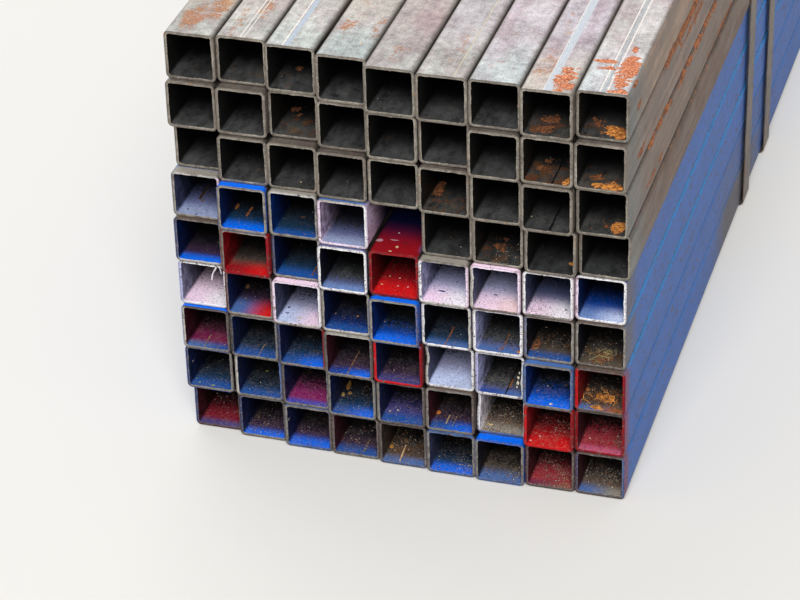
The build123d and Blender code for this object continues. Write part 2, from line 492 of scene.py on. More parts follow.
def make_layer(layer, material):
    """One layer of tubes as a detailed mesh, with its steel and paint in colour attributes."""
    node = f"tube_layer_{layer}"
    vertices, faces, values = [], [], {"steel": [], "paint": [], "trait": []}
    for column in range(1, COLUMNS + 1):
        low, high = BOXES[layer, column]
        words, reach = sprayed(layer, column)
        finishes = [outside_finish(layer, column, words), inside_finish(layer, column, words, reach),
                    rim_finish(layer, words), BACK_RIM]
        for index, name in enumerate(("steel", "paint")):
            table = np.stack([finish[index] for finish in finishes])
            values[name].append(table[KINDS[:, None], QUADS])
        trait = np.zeros((len(QUADS), 4, 4))
        trait[:, :, 0] = random.Random(layer * 100 + column).random()
        trait[:, :, 1] = (KINDS == 1)[:, None]
        trait[:, :, 2] = (KINDS >= 2)[:, None]
        trait[:, :, 3] = TO_BOTTOM[QUADS]
        values["trait"].append(trait)
        middle = [(low[0] + high[0]) / 2, low[1], (low[2] + high[2]) / 2]
        vertices.append(tube_shape(layer, column) * MM + middle)
        faces.append(QUADS + len(POINTS) * (column - 1))
    faces = np.concatenate(faces)
    mesh = bpy.data.meshes.new(node + "_detail")
    mesh.vertices.add(len(POINTS) * COLUMNS)
    mesh.vertices.foreach_set("co", np.concatenate(vertices).ravel())
    mesh.loops.add(len(faces) * 4)
    mesh.loops.foreach_set("vertex_index", faces.ravel())
    mesh.polygons.add(len(faces))
    mesh.polygons.foreach_set("loop_start", np.arange(len(faces)) * 4)
    mesh.update(calc_edges=True)
    for name, parts in values.items():
        attribute = mesh.color_attributes.new(name, "FLOAT_COLOR", "CORNER")
        attribute.data.foreach_set("color", np.concatenate(parts).ravel())
    mesh.shade_smooth()
    mesh.set_sharp_from_angle(angle=math.radians(40))
    mesh.materials.append(material)
    piece = placed(node + "_detail", mesh)
    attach(piece, "root")
    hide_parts(node)


class Value:
    """A node's output that takes part in plain sums, each of which adds a node."""

    def __init__(self, nodes, socket):
        self.nodes = nodes
        self.socket = socket

    def __add__(self, other):
        return self.nodes.maths("ADD", self, other)

    def __mul__(self, other):
        return self.nodes.maths("MULTIPLY", self, other)

    def __sub__(self, other):
        return self.nodes.maths("SUBTRACT", self, other)

    def __rsub__(self, other):
        return self.nodes.maths("SUBTRACT", other, self)


class Nodes:
    """Short ways to add and join nodes."""

    def __init__(self, tree):
        self.tree = tree
        tree.nodes.clear()

    def add(self, kind, *inputs, **values):
        node = self.tree.nodes.new(kind)
        for key, value in values.items():
            setattr(node, key, value)
        for socket, value in zip(node.inputs, inputs):
            self.feed(socket, value)
        return node

    def output(self, node, key=0):
        return Value(self, node.outputs[key])

    def feed(self, socket, value):
        if isinstance(value, Value):
            self.tree.links.new(value.socket, socket)
        elif isinstance(value, tuple) and socket.type == "RGBA":
            socket.default_value = (*value, 1.0)
        else:
            socket.default_value = value

    def maths(self, operation, first, second):
        return self.output(self.add("ShaderNodeMath", first, second, operation=operation))

    def vector(self, operation, *inputs):
        return self.output(self.add("ShaderNodeVectorMath", *inputs, operation=operation))

    def scaled(self, colour, factor):
        node = self.add("ShaderNodeVectorMath", colour, operation="SCALE")
        self.feed(node.inputs["Scale"], factor)
        return self.output(node)

    def mix(self, factor, first, second):
        node = self.add("ShaderNodeMix", factor, data_type="RGBA")
        self.feed(node.inputs[6], first)
        self.feed(node.inputs[7], second)
        return self.output(node, 2)

    def ramp(self, value, low, high, start=0.0, end=1.0):
        node = self.add("ShaderNodeMapRange", value, low, high, start, end, interpolation_type="SMOOTHSTEP")
        return self.output(node)

    def swing(self, value, start, end):
        """Ramp over the range where most of a noise lies."""
        return self.ramp(value, 0.3, 0.7, start, end)

    def noise(self, place, scale, detail, rough=0.55, along=1.0):
        """Noise, drawn out along the tubes where the last factor is below 1."""
        if along < 1.0:
            mapping = self.add("ShaderNodeMapping", place)
            mapping.inputs["Scale"].default_value = (1.0, along, 1.0)
            place = self.output(mapping)
        node = self.add("ShaderNodeTexNoise", place)
        for name, value in (("Scale", scale), ("Detail", detail), ("Roughness", rough)):
            node.inputs[name].default_value = value
        return self.output(node, "Fac")

    def attribute(self, name):
        node = self.add("ShaderNodeVertexColor", layer_name=name)
        return self.output(node, "Color"), self.output(node, "Alpha")

    def coordinates(self):
        return self.output(self.add("ShaderNodeTexCoord"), "Object")

    def split(self, value, kind="ShaderNodeSeparateXYZ"):
        node = self.add(kind, value)
        return [self.output(node, index) for index in range(3)]

    def seen(self):
        """1 where the camera sees the surface itself or its reflection, and 0 where it only sends light."""
        rays = self.add("ShaderNodeLightPath")
        return self.maths("MAXIMUM", self.output(rays, "Is Camera Ray"), self.output(rays, "Is Glossy Ray"))


class Surface(Nodes):
    """Nodes of a new material."""

    def __init__(self, name):
        self.material = bpy.data.materials.new(name)
        self.material.use_nodes = True
        super().__init__(self.material.node_tree)
        self.shader = self.add("ShaderNodeBsdfPrincipled")
        self.add("ShaderNodeOutputMaterial", self.output(self.shader))

    def bump(self, height, strength, distance):
        node = self.add("ShaderNodeBump")
        for name, value in (("Strength", strength), ("Distance", distance), ("Height", height)):
            self.feed(node.inputs[name], value)
        self.feed(self.shader.inputs["Normal"], self.output(node))

    def finish(self, colour, roughness):
        self.feed(self.shader.inputs["Base Color"], colour)
        self.feed(self.shader.inputs["Roughness"], roughness)
        return self.material


def tube_material():
    """Mill-scaled steel with rust, and sprayed paint that thins out into flecks."""
    n = Surface("tube_steel_worn")
    steel, rustiness = n.attribute("steel")
    paint, painted = n.attribute("paint")
    trait, downward = n.attribute("trait")
    inside, rim = n.split(trait, "ShaderNodeSeparateColor")[1:]
    floor = downward * inside
    walls = inside - floor
    outer = 1.0 - inside
    upward = n.ramp(n.split(n.output(n.add("ShaderNodeNewGeometry"), "Normal"))[2], 0.3, 0.9) * outer
    flank = outer - upward

    # Noises, shifted from tube to tube
    place = n.vector("MULTIPLY_ADD", trait, (3.0, 0.0, 0.0), n.coordinates())

    def patches(scale, detail, rough, along, low, high, share=1.0):
        """Patches where a noise, drawn out along the tubes, rises from one value to another."""
        return n.ramp(n.noise(place, scale, detail, rough, along), low, high, 0.0, share)

    mottle = n.noise(place, 28.0, 5.0, 0.62)
    blotch = n.noise(place, 110.0, 4.0, 0.6)
    grain = n.noise(place, 900.0, 2.0, 0.7)
    dust = n.noise(place, 480.0, 2.0, 0.6)
    chips = n.noise(place, 300.0, 4.0, 0.72)
    lines = n.swing(n.noise(place, 330.0, 3.0, along=0.006), -0.3, 0.3) * (flank * 0.4 + 0.2)

    # Light and dark of the bare steel
    light = n.swing(mottle, -0.17, 0.15) + n.swing(grain, -0.3, 0.34) + lines * outer
    light += n.swing(blotch, -0.2, 0.16) * n.ramp(flank, 0.0, 1.0, 1.0, 0.5)
    light += n.swing(n.noise(place, 120.0, 3.0, along=0.02), -0.14, 0.14) * flank
    light += inside * n.ramp(painted, 0.0, 0.2, 0.2, 1.0) * n.ramp(dust, 0.32, 0.68, -0.5, 0.7)
    light += inside * n.ramp(n.noise(place, 85.0, 6.0, 0.72, 0.4), 0.34, 0.66, -0.45, 0.45)
    bare = n.scaled(steel, light + 1.0)
    tinted = patches(34.0, 5.0, 0.66, 0.45, 0.44, 0.6, 0.75)
    bare = n.mix(tinted * upward, bare, n.vector("MULTIPLY", bare, (0.84, 0.72, 0.76)))
    bare = n.mix(tinted * flank, bare, n.scaled(bare, 0.9))

    # Rust, darkened inside the tubes as painted shade, and the stains and mill scale of the sides
    rusting = n.noise(place, 75.0, 6.0, 0.68) + rustiness * 0.62 + n.swing(dust, -0.1, 0.1)
    rusted = n.ramp(rusting, 0.76, 0.86)
    orange = n.mix(n.ramp(grain, 0.35, 0.62), linear(112, 66, 38), linear(196, 128, 74))
    orange = n.mix(n.ramp(blotch, 0.52, 0.68), orange, linear(176, 92, 38))
    orange = n.mix(n.ramp(mottle, 0.52, 0.66, 0.0, 0.6), orange, linear(190, 148, 92))
    # Painted shade: rust inside the tubes is darkened to three tenths
    orange = n.scaled(orange, n.ramp(inside, 0.0, 1.0, 1.0, 0.3))
    bare = n.mix(rusted * n.ramp(rim, 0.0, 1.0, 0.8, 0.6), bare, orange)
    stains = patches(62.0, 4.0, 0.62, 0.05, 0.5, 0.62, 0.6)
    bare = n.mix(stains * flank, bare, n.scaled(bare, 0.66))
    mill_scale = patches(48.0, 6.0, 0.72, 0.2, 0.45, 0.6, 0.7)
    bare = n.mix(mill_scale * flank, bare, linear(122, 112, 103))

    # Paint, flecked where it is thin
    cover = painted * 1.3 + n.ramp(chips, 0.2, 0.8, 0.32, -0.5) + n.ramp(grain, 0.25, 0.75, 0.22, -0.22)
    cover += rim * -0.12
    cover += (1.1 - painted) * painted * inside * n.swing(dust, -2.0, 2.0)
    cover = n.ramp(cover, 0.3, 0.8)
    shade = n.swing(mottle, -0.07, 0.07) + n.swing(grain, -0.14, 0.16) + lines * outer * 0.35
    shade += inside * n.swing(dust, -0.17, 0.17) + walls * n.ramp(blotch, 0.35, 0.65, -0.55, 0.3)
    colour = n.mix(cover, bare, n.scaled(paint, shade + 1.0))

    # Specks, scrapes and pits in the paint, and grit on it
    specks = patches(420.0, 1.0, 0.5, 1.0, 0.7, 0.75) * painted * 0.85
    colour = n.mix(specks, colour, linear(44, 36, 34))
    scrapes = patches(110.0, 5.0, 0.72, 0.16, 0.57, 0.66) * flank * painted * 0.55
    pits = patches(220.0, 4.0, 0.7, 0.4, 0.575, 0.62) * flank * painted * 0.85
    underneath = n.mix(n.ramp(chips, 0.4, 0.6), linear(40, 46, 66), linear(128, 100, 84))
    colour = n.mix(n.maths("MAXIMUM", scrapes, pits), colour, underneath)
    grit = patches(640.0, 1.0, 0.5, 1.0, 0.66, 0.73) * floor * 0.8
    colour = n.mix(grit * painted, colour, linear(150, 118, 92))

    # Grime on the rims, and dirt and sifted dust in the mouths, most in the lowest layers
    soiled = n.ramp(painted, 0.8, 1.0, 0.6, 0.22) * n.ramp(painted, 0.0, 0.5, 0.25, 1.0)
    grime = patches(130.0, 5.0, 0.75, 1.0, 0.48, 0.62) * rim * soiled
    colour = n.mix(grime, colour, n.mix(n.ramp(grain, 0.4, 0.6), linear(40, 38, 42), linear(96, 84, 74)))
    dirt = patches(90.0, 6.0, 0.7, 1.0, 0.5, 0.7, 0.6) * (1.1 - painted * 0.8)
    colour = n.mix(dirt * floor, colour, n.mix(0.3, n.scaled(steel, 0.9), n.scaled(steel, 1.7)))
    along, height = n.split(n.coordinates())[1:]
    sifted = n.ramp(n.noise(place, 55.0, 6.0, 0.75) + n.swing(dust, -0.2, 0.2), 0.46, 0.74, 0.0, 0.36)
    # The sifted dust is most on the lowest layers and thins out deeper into the tubes, so the painted shade
    # there stays dark
    sifted *= n.ramp(height, 0.02, 0.24, 1.0, 0.04) * n.ramp(along, -3.045, -2.97, 1.0, 0.15)
    powder = n.mix(n.ramp(grain, 0.34, 0.66), linear(76, 62, 58), linear(168, 148, 132))
    colour = n.mix(sifted * (walls * 0.4 + floor), colour, powder)

    n.feed(n.shader.inputs["Metallic"], (1.0 - n.maths("MAXIMUM", cover, rusted)) * outer * 0.5)
    n.shader.inputs["Specular IOR Level"].default_value = 0.2
    n.bump(blotch + grain * 0.6, 0.3, 0.0005)
    return n.finish(colour, n.swing(grain, 0.42, 0.68))


def bits_material(name, roughness):
    """Material of small pieces, which bring their own colours."""
    n = Surface(name)
    grain = n.noise(n.coordinates(), 1100.0, 3.0, 0.7)
    n.bump(grain, 0.4, 0.0004)
    return n.finish(n.scaled(n.attribute("tint")[0], n.swing(grain, 0.6, 1.35)), roughness)


def strap_material(name, base, worn):
    """Dull strapping steel, worn in patches and rusted in the middle of them."""
    n = Surface(name)
    place = n.coordinates()
    grain = n.noise(place, 500.0, 4.0, 0.7)
    patches = n.noise(place, 45.0, 4.0, 0.65)
    colour = n.mix(n.ramp(patches, 0.4, 0.62), base, worn)
    colour = n.mix(n.ramp(patches, 0.62, 0.72, 0.0, 0.6), colour, linear(128, 76, 44))
    n.bump(grain, 0.3, 0.0004)
    return n.finish(n.scaled(colour, n.swing(grain, 0.72, 1.25)), 0.5)


X_WAY, Y_WAY, Z_WAY = Vector((1, 0, 0)), Vector((0, 1, 0)), Vector((0, 0, 1))

# Room for small pieces in mm: behind a tube's front end, over its top, and into a joint between layers
END_MARGIN = 0.3
HEADROOM = 9
GROOVE_DEPTH = 2.5


def shaded(colour, factor):
    return tuple(min(1.0, c * factor) for c in colour)


class Bits:
    """Gathers many small closed shapes, each with its own colour, into one piece."""

    def __init__(self, name):
        self.name = name
        self.points, self.faces, self.tints = [], [], []
        self.low, self.high = Vector([-math.inf] * 3), Vector([math.inf] * 3)

    def keep_to(self, layer, column, margin):
        """Holds what follows within a tube's length, and this far inside its sides in mm."""
        low, high = (Vector(c) for c in BOXES[layer, column])
        inset = Vector((margin, END_MARGIN, -HEADROOM)) * MM
        self.low, self.high = low + inset, high - inset

    def add(self, points, faces, tints):
        start = len(self.points)
        self.points += [tuple(min(max(c, a), b) for c, a, b in zip(p, self.low, self.high)) for p in points]
        self.faces += [[i + start for i in face] for face in faces]
        self.tints += tints if isinstance(tints, list) else [tints] * len(points)

    def grain(self, place, size, tint, rng):
        """A grain of sand: an uneven eight-sided lump."""
        turn = rng.random() * math.pi
        points = []
        for x, y, z in ((1, 0, 0), (-1, 0, 0), (0, 1, 0), (0, -1, 0), (0, 0, 1), (0, 0, -0.6)):
            k = size * (0.35 + 0.3 * rng.random())
            points.append(place + Vector((x * math.cos(turn) - y * math.sin(turn),
                                          x * math.sin(turn) + y * math.cos(turn), z)) * k)
        faces = [(0, 2, 4), (2, 1, 4), (1, 3, 4), (3, 0, 4), (2, 0, 5), (1, 2, 5), (3, 1, 5), (0, 3, 5)]
        self.add(points, faces, tint)

    def flake(self, spot, outline, thickness, tint):
        """A thin lump with the given outline, as pairs in mm, lying on a surface."""
        place, along, across = spot
        up = along.cross(across).normalized()
        count = len(outline)
        spread = [(along * a + across * b) * MM for a, b in outline]
        points = [place + p for p in spread] + [place + p * 0.82 + up * thickness * MM for p in spread]
        points += [place + up * thickness * 1.25 * MM, place]
        faces = []
        for i in range(count):
            j = (i + 1) % count
            faces += [(i, j, count + j, count + i), (count + i, count + j, 2 * count), (j, i, 2 * count + 1)]
        self.add(points, faces, tint)

    def blob(self, spot, length, width, thickness, tint, rng, sides=9):
        """A flake with an uneven round outline; sizes in mm."""
        outline = []
        for i in range(sides):
            angle = 2 * math.pi * i / sides
            k = (0.7 + 0.6 * rng.random()) / 2
            outline.append((math.cos(angle) * k * length, math.sin(angle) * k * width))
        self.flake(spot, outline, thickness, tint)

    def ribbon(self, line, up, width, height, tints, uneven, rng):
        """A low ridge along a line, closed at both ends; width and height in mm."""
        points, faces, colours = [], [], []
        for index, place in enumerate(line):
            way = (line[min(index + 1, len(line) - 1)] - line[max(index - 1, 0)]).normalized()
            side = way.cross(up).normalized()
            side *= width / 2 * MM * (1 - uneven + 2 * uneven * rng.random())
            rise = up * (height * MM * (1 - uneven + 2 * uneven * rng.random()))
            points += [place - side, place - side * 0.45 + rise, place + side * 0.45 + rise, place + side]
            colours += [tints[index % len(tints)]] * 4
            if index:
                a = 4 * (index - 1)
                faces += [(a + i, a + 4 + i, a + 4 + (i + 1) % 4, a + (i + 1) % 4) for i in range(4)]
        end = len(points) - 4
        self.add(points, faces + [(0, 1, 2, 3), (end + 3, end + 2, end + 1, end)], colours)

    def scab(self, spot, along, across, bare, crust, seed, grainy=(1, 1), surface=None):
        """A crust of rust in ragged islands: thin slabs where a noise field is high; sizes in mm."""
        place, along_way, across_way = spot
        up = along_way.cross(across_way).normalized()
        cell, thickness, dark, light = crust
        along, across, cell, thickness = (size * MM for size in (along, across, cell, thickness))
        rows, columns = int(2 * along / cell), int(2 * across / cell)

        def rough(a, b, step, change):
            return noise.noise(Vector((a * step, b * step, seed + change)))

        def height(i, j):
            a, b = i / rows * 2 - 1, j / columns * 2 - 1
            x, y = a * along / MM * grainy[0], b * across / MM * grainy[1]
            return 1 - (a * a + b * b) + 0.9 * rough(x, y, 0.11, 0) + 0.45 * rough(x, y, 0.5, 9) - bare

        def at(i, j):
            a, b = i / rows * 2 - 1, j / columns * 2 - 1
            return place + along_way * (a * along) + across_way * (b * across)

        heights = {(i, j): height(i, j) for i in range(rows + 1) for j in range(columns + 1)}

        def inside(i, j):
            middle = zip(self.low, at(i + 0.5, j + 0.5), self.high)
            return all(low + cell / 2 < c < high - cell / 2 for low, c, high in middle)

        kept = {(i, j) for i in range(rows) for j in range(columns) if inside(i, j)
                and min(heights[i + a, j + b] for a in (0, 1) for b in (0, 1)) > -0.12}
        index, points, colours, faces = {}, [], [], []
        for level in (0, 1):
            for i, j in sorted({(i + a, j + b) for i, j in kept for a in (0, 1) for b in (0, 1)}):
                index[level, i, j] = len(points)
                jog = rough(i, j, 1.7, 3) * 0.35
                point = at(i + jog, j - jog)
                if surface:
                    point.x = surface(point.z)
                rise = thickness * min(1.0, max(0.0, heights[i, j] + 0.1) * 2)
                rise *= 0.6 + 0.8 * abs(rough(i, j, 0.9, 0))
                points.append(point + up * ((0.05 * MM + rise) * level))
                share = min(1.0, max(0.0, rough(i, j, 0.45, 5) + 0.5 + 0.6 * rough(i, j, 1.9, 7)))
                colours.append(tuple(p * (1 - share) + q * share for p, q in zip(dark, light)))
        for i, j in sorted(kept):
            ring = [(i, j), (i + 1, j), (i + 1, j + 1), (i, j + 1)]
            faces.append([index[(1, *c)] for c in ring])
            faces.append([index[(0, *c)] for c in reversed(ring)])
            for side, beside in enumerate([(i, j - 1), (i + 1, j), (i, j + 1), (i - 1, j)]):
                if beside not in kept:
                    p, q = ring[side], ring[(side + 1) % 4]
                    faces.append([index[(0, *p)], index[(0, *q)], index[(1, *q)], index[(1, *p)]])
        self.add(points, faces, colours)

    def build(self, material):
        mesh = bpy.data.meshes.new(self.name)
        mesh.from_pydata(self.points, [], self.faces)
        attribute = mesh.color_attributes.new("tint", "FLOAT_COLOR", "CORNER")
        corners = np.zeros(len(mesh.loops), dtype=np.int32)
        mesh.loops.foreach_get("vertex_index", corners)
        tints = with_alpha(np.array(self.tints), np.ones(len(self.tints)))
        attribute.data.foreach_set("color", tints[corners].ravel())
        mesh.materials.append(material)
        piece = placed(self.name, mesh)
        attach(piece, "root")


def floor_level(layer, column):
    return BOXES[layer, column][0][2] + TUBE_WALL * MM


def within(value, low, high, margin):
    """The value, held this far in mm inside a range."""
    return min(max(value, low + margin * MM), high - margin * MM)


def on_floor(layer, column, px, py):
    """Point on a tube's inner floor that a pixel of the photograph shows, kept inside the tube."""
    low, high = BOXES[layer, column]
    point = seen_on(px, py, 2, floor_level(layer, column))
    point.x = within(point.x, low[0], high[0], 5)
    point.y = max(point.y, low[1] + 1 * MM)
    return point


def spot_on(layer, column, wall, px, py):
    """Point on a wall that a pixel of the photograph shows, with two directions along the wall."""
    low, high = BOXES[layer, column]
    if wall == "floor":
        return on_floor(layer, column, px, py), Y_WAY, -X_WAY
    if wall == "top":
        return seen_on(px, py, 2, high[2]), Y_WAY, -X_WAY
    if wall == "side":
        return seen_on(px, py, 0, high[0]), Y_WAY, Z_WAY
    point = seen_on(px, py, 0, low[0] + TUBE_WALL * MM)
    point.z = within(point.z, low[2], high[2], 6)
    point.y = max(point.y, low[1] + 1 * MM)
    return point, Y_WAY, Z_WAY


def side_surface(z):
    """X of the stack's right side at a height, which goes in a little at the rounded joints."""
    low, high = min((BOXES[layer, COLUMNS] for layer in range(1, LAYERS + 1)),
                    key=lambda box: abs((box[0][2] + box[1][2]) / 2 - z))
    radius = OUTER_RADIUS * MM
    past = max(0.0, abs((low[2] + high[2]) / 2 - z) - HALF * MM + radius)
    return high[0] - min(radius - math.sqrt(max(radius ** 2 - past ** 2, 0.0)), GROOVE_DEPTH * MM)


# Sand: colours, number of grains in a mouth by layer, and how far inside the tube's sides it stays in mm
SAND_TINTS = [linear(206, 190, 164), linear(168, 148, 122), linear(120, 100, 78), linear(222, 214, 200),
              linear(196, 132, 74)]
SAND_NUMBERS = [6, 8, 10, 30, 50, 70, 140, 210, 290]
SAND_MARGIN = 3.1

# Heaps of sand and dirt: layer, column, pixel in the photograph, spread in mm and number of grains
SAND_HEAPS = [
    (9, 9, 612, 480, 7, 160), (9, 8, 562, 478, 8, 190), (9, 8, 548, 462, 9, 90), (9, 7, 517, 474, 5, 110),
    (9, 6, 468, 466, 5, 90), (9, 5, 400, 445, 12, 120), (8, 7, 500, 424, 12, 240),
    (8, 7, 512, 412, 7, 70), (7, 9, 600, 396, 12, 120), (6, 9, 600, 356, 12, 150),
    (6, 8, 548, 350, 12, 70), (9, 9, 590, 468, 9, 80), (5, 8, 540, 308, 8, 50), (8, 9, 618, 442, 4, 60),
    (8, 8, 563, 428, 4, 50), (9, 4, 355, 440, 12, 70), (9, 2, 262, 425, 9, 40), (8, 4, 370, 392, 5, 40),
    (9, 1, 222, 400, 8, 30), (4, 7, 505, 258, 8, 60),
]


def make_sand(material):
    """Sand and dust grains blown into the mouths, thicker in the lower layers."""
    bits = Bits("sand_grains")
    rng = random.Random(11)
    for (layer, column), (low, high) in BOXES.items():
        bits.keep_to(layer, column, SAND_MARGIN)
        for _ in range(SAND_NUMBERS[layer - 1]):
            x = low[0] + (5 + 40 * rng.random()) * MM
            y = low[1] + (0.8 + 64 * rng.random() ** 1.6) * MM
            size = (0.35 + 0.8 * rng.random() ** 2.5) * MM
            shade = 0.15 + 0.75 * rng.random() ** 2.2
            tint = shaded(rng.choice(SAND_TINTS), shade)
            bits.grain(Vector((x, y, floor_level(layer, column) + size * 0.15)), size, tint, rng)
    for layer, column, px, py, spread, number in SAND_HEAPS:
        point = on_floor(layer, column, px, py)
        low, high = BOXES[layer, column]
        bits.keep_to(layer, column, SAND_MARGIN)
        for _ in range(number):
            x = within(point.x + rng.gauss(0, spread) * MM, low[0], high[0], 4)
            y = max(point.y + rng.gauss(0, spread * 1.4) * MM, low[1] + 0.8 * MM)
            size = (0.6 + 1.1 * rng.random()) * MM
            shade = 0.22 + 0.5 * rng.random() ** 2
            tint = shaded(rng.choice(SAND_TINTS), shade)
            z = floor_level(layer, column) + size * (0.15 + 0.4 * rng.random())
            bits.grain(Vector((x, y, z)), size, tint, rng)
    bits.build(material)


# Kinds of rust: size of the cells and thickness in mm, dark and light
TOP_CRUST = (0.7, 0.35, linear(140, 58, 22), linear(240, 160, 116))
SIDE_CRUST = (1.3, 0.25, linear(92, 60, 42), linear(188, 116, 70))
FLOOR_CRUSTS = {
    "amber": (1.0, 0.3, linear(126, 62, 24), linear(240, 160, 74)),
    "brown": (1.0, 0.3, linear(62, 36, 20), linear(150, 88, 46)),
}

# How far in mm the rust stays inside a tube's sides on tops and floors, and under the stack's top on its side
TOP_MARGIN = 2
FLOOR_MARGIN = 3.2
EDGE_MARGIN = 1

# Rust scale on the tops: layer, column, pixel, reach along and across in mm, bareness, seed, and fineness
# along and across
TOP_SCALE = [
    (1, 9, 629, 70, 34, 14, 0.5, 3.1, (2.4, 1.6)), (1, 9, 630, 66, 20, 8, 0.3, 13.1, (2.0, 1.4)),
    (1, 9, 606, 61, 6, 14, 0.5, 5.2, (2.6, 0.7)), (1, 9, 607, 68, 5, 14, 0.5, 7.7, (2.6, 0.7)),
    (1, 9, 618, 92, 7, 11, 0.45, 8.4, (2.0, 1.2)), (1, 9, 621, 83, 13, 9, 0.55, 2.2, (2.0, 1.2)),
    (1, 8, 566, 79, 28, 12, 0.5, 4.6, (2.0, 1.4)), (1, 8, 563, 86, 14, 10, 0.45, 6.3, (1.8, 1.3)),
    (1, 9, 635, 50, 10, 5, 0.6, 1.3, (2.0, 1.2)),
]

# Rust on inner floors: layer, column, pixel, reach along and across in mm, bareness, seed, tint
FLOOR_SCALE = [
    (1, 9, 612, 132, 12, 14, 0.35, 1.5, "amber"), (1, 9, 620, 136, 7, 7, 0.2, 2.5, "amber"),
    (1, 9, 600, 122, 14, 12, 0.75, 3.5, "brown"), (1, 8, 545, 130, 9, 18, 0.6, 4.5, "brown"),
    (1, 8, 552, 118, 14, 12, 0.7, 5.5, "brown"), (2, 8, 567, 182, 10, 6, 0.25, 6.5, "amber"),
    (2, 8, 545, 165, 26, 14, 0.9, 7.5, "brown"), (2, 9, 608, 186, 10, 16, 0.5, 8.5, "amber"),
    (2, 9, 596, 176, 12, 12, 0.8, 9.5, "brown"), (3, 9, 619, 228, 12, 8, 0.15, 10.5, "amber"),
    (3, 9, 608, 226, 5, 5, 0.4, 11.5, "brown"), (3, 6, 440, 188, 22, 14, 0.85, 12.5, "brown"),
    (2, 3, 296, 110, 20, 12, 0.8, 13.5, "brown"), (2, 3, 292, 106, 6, 5, 0.5, 14.5, "amber"),
    (4, 7, 502, 245, 26, 14, 0.95, 15.5, "brown"), (4, 8, 573, 264, 4, 4, 0.2, 16.5, "amber"),
    (7, 9, 606, 398, 12, 15, 0.85, 17.5, "amber"), (7, 9, 600, 408, 6, 10, 0.5, 18.5, "amber"),
    (6, 9, 603, 358, 12, 14, 0.7, 19.5, "brown"), (1, 3, 300, 68, 6, 5, 0.7, 20.5, "brown"),
    (6, 7, 521, 352, 5, 3, 0.1, 21.5, "amber"), (6, 8, 536, 345, 18, 9, 0.9, 22.5, "brown"),
]

# Rust along the right side: layer, pixel, reach along and up in mm, bareness, seed
SIDE_SCALE = [
    (2, 641, 150, 24, 9, 0.7, 1.2), (1, 673, 50, 60, 8, 0.5, 2.2), (2, 694, 20, 120, 8, 0.68, 3.2),
    (2, 662, 118, 90, 7, 0.7, 4.2), (3, 700, 40, 200, 6, 0.8, 5.2), (1, 640, 100, 14, 10, 0.8, 6.2),
    (1, 688, 22, 70, 11, 0.35, 7.2), (4, 722, 25, 120, 9, 0.85, 8.2), (3, 655, 170, 60, 6, 0.8, 9.2),
    (1, 637, 82, 12, 8, 0.75, 10.2), (1, 697, 4, 60, 9, 0.5, 11.2), (3, 726, 16, 90, 8, 0.8, 12.2),
]


def make_rust(material):
    """Thick rust scale on the top layer, in the mouths and along the joints of the right side."""
    bits = Bits("rust_scale")
    for layer, column, px, py, along, across, bare, seed, grainy in TOP_SCALE:
        bits.keep_to(layer, column, TOP_MARGIN)
        bits.scab(spot_on(layer, column, "top", px, py), along, across, bare, TOP_CRUST, seed, grainy)
    for layer, column, px, py, along, across, bare, seed, word in FLOOR_SCALE:
        bits.keep_to(layer, column, FLOOR_MARGIN)
        bits.scab(spot_on(layer, column, "floor", px, py), along, across, bare, FLOOR_CRUSTS[word], seed)
    for layer, px, py, along, across, bare, seed in SIDE_SCALE:
        bits.keep_to(layer, COLUMNS, -HEADROOM)
        bits.high.z = min(bits.high.z, BOXES[1, COLUMNS][1][2] - EDGE_MARGIN * MM)
        spot = spot_on(layer, COLUMNS, "side", px, py)
        bits.scab(spot, along, across, bare, SIDE_CRUST, seed, (0.5, 1.8), side_surface)
    bits.build(material)


SILVER, BLUISH = linear(226, 222, 216), linear(166, 178, 192)
DARK, EMBER, STRAW = linear(22, 20, 20), linear(166, 100, 56), linear(176, 156, 122)
BROWNED = linear(110, 72, 46)

# Weld seams on top: column, pixel near the front end, width in mm, colour
SEAMS = [
    (2, 240.5, 36, 1.2, SILVER), (2, 245, 36, 1.2, linear(214, 208, 200)), (3, 283.5, 43, 1.8, SILVER),
    (3, 288, 43, 5.5, BLUISH), (8, 549, 87, 8.0, linear(186, 192, 200)), (9, 601, 89, 1.5, SILVER),
    (9, 607.5, 91, 1.5, SILVER), (9, 604.3, 90, 2.2, linear(158, 164, 168)), (8, 545, 86, 0.8, SILVER),
    (6, 456, 72, 1.0, linear(196, 182, 150)),
]
SEAM_DEPTHS = [0.6, 20, 60, 140, 300, 700, 1500, 3000, 4500, LENGTH - 0.6]

# Weld beads inside: layer, column, share of the width, start and end in mm, width in mm, colours
BEADS = [
    (2, 8, 0.60, 0.5, 70, 2.2, [DARK]), (3, 8, 0.55, 0.5, 60, 2.2, [DARK]),
    (5, 3, 0.76, 6, 34, 1.2, [EMBER, BROWNED, EMBER]), (5, 3, 0.82, 10, 40, 1.0, [EMBER, DARK]),
    (6, 6, 0.46, 1, 34, 1.2, [EMBER, EMBER, BROWNED]), (6, 7, 0.56, 4, 36, 1.1, [EMBER, BROWNED, EMBER]),
    (6, 7, 0.52, 2, 12, 1.2, [EMBER]), (7, 1, 0.42, 3, 24, 1.0, [STRAW, BROWNED]),
    (7, 2, 0.55, 3, 24, 0.9, [STRAW, BROWNED]), (7, 4, 0.45, 1, 44, 1.1, [EMBER, STRAW, BROWNED]),
    (7, 7, 0.60, 1, 60, 1.4, [DARK]), (7, 7, 0.62, 14, 30, 1.4, [EMBER]),
    (8, 6, 0.50, 8, 26, 1.3, [STRAW, DARK]), (9, 4, 0.62, 6, 30, 1.2, [STRAW, DARK]),
    (4, 2, 0.40, 26, 44, 2.4, [EMBER, linear(120, 74, 40)]),
    (4, 1, 0.32, 30, 60, 2.4, [linear(96, 66, 44), DARK]),
]
BEAD_STEP = 2.5


